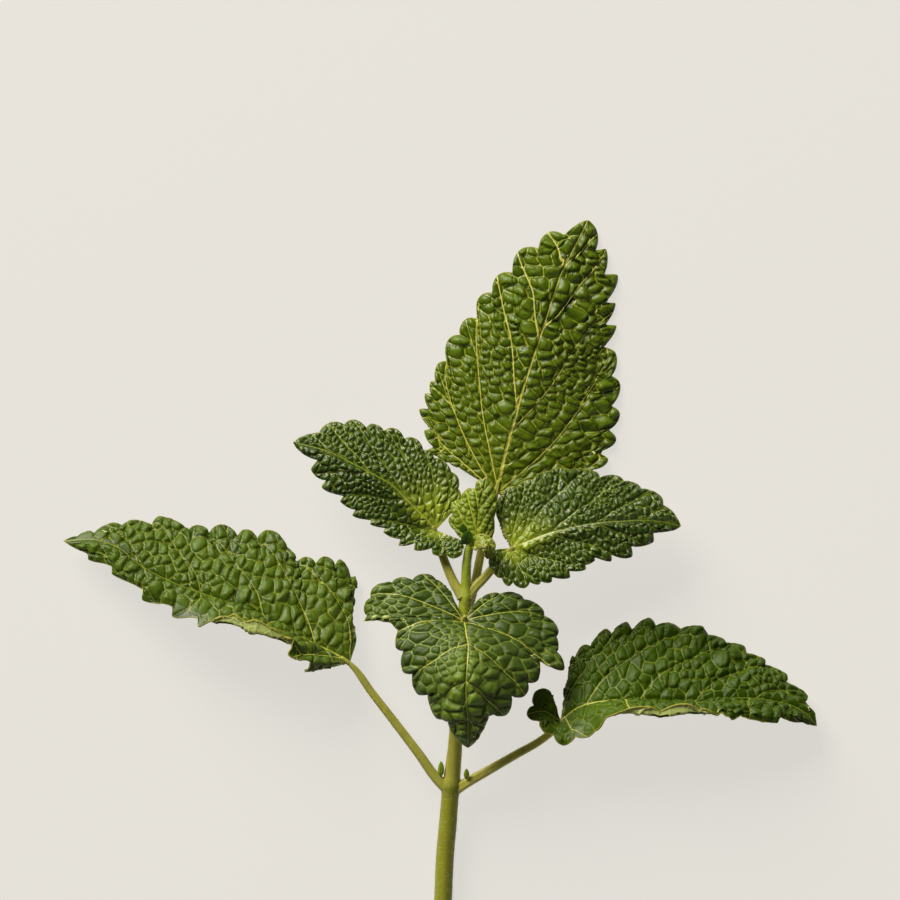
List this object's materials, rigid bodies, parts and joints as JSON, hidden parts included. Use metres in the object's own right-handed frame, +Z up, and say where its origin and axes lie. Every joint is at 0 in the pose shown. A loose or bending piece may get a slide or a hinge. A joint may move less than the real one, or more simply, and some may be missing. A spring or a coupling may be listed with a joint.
{
  "type": "lemon balm sprig",
  "caption": "Cut sprig of lemon balm lying down: a slim stem with opposite pairs of stalked, toothed, net-veined leaves and a tuft of young leaves.",
  "frame": {"origin": "on the surface that the sprig lies on, under the middle of its box", "axes": "+Z up from that surface, +X across the sprig towards its lower right leaf's tip, +Y along the stem from the cut end towards the shoot tip"},
  "size_m": [0.1355, 0.1294, 0.0199],
  "materials": {
    "stem": "smooth green herb stem, satin",
    "leaf_lower_left": "fresh green leaf tissue, satin",
    "leaf_lower_right": "fresh green leaf tissue, satin",
    "leaf_front": "fresh green leaf tissue, satin",
    "leaf_back": "fresh green leaf tissue, satin",
    "leaf_upper_left": "fresh green leaf tissue, satin",
    "leaf_upper_right": "fresh green leaf tissue, satin",
    "tip_leaf_back": "fresh green leaf tissue, satin",
    "tip_leaf_front": "fresh green leaf tissue, satin",
    "tip_leaflet_large": "fresh green leaf tissue, satin",
    "tip_leaflet_small": "fresh green leaf tissue, satin",
    "bud_left": "fresh green leaf tissue, satin",
    "bud_right": "fresh green leaf tissue, satin"
  },
  "bodies": {
    "root": {"stem": "stem", "leaf_lower_left": "leaf_lower_left", "leaf_lower_right": "leaf_lower_right", "leaf_front": "leaf_front", "leaf_back": "leaf_back", "leaf_upper_left": "leaf_upper_left", "leaf_upper_right": "leaf_upper_right", "tip_leaf_back": "tip_leaf_back", "tip_leaf_front": "tip_leaf_front", "tip_leaflet_large": "tip_leaflet_large", "tip_leaflet_small": "tip_leaflet_small", "bud_left": "bud_left", "bud_right": "bud_right"}
  },
  "joints": []
}
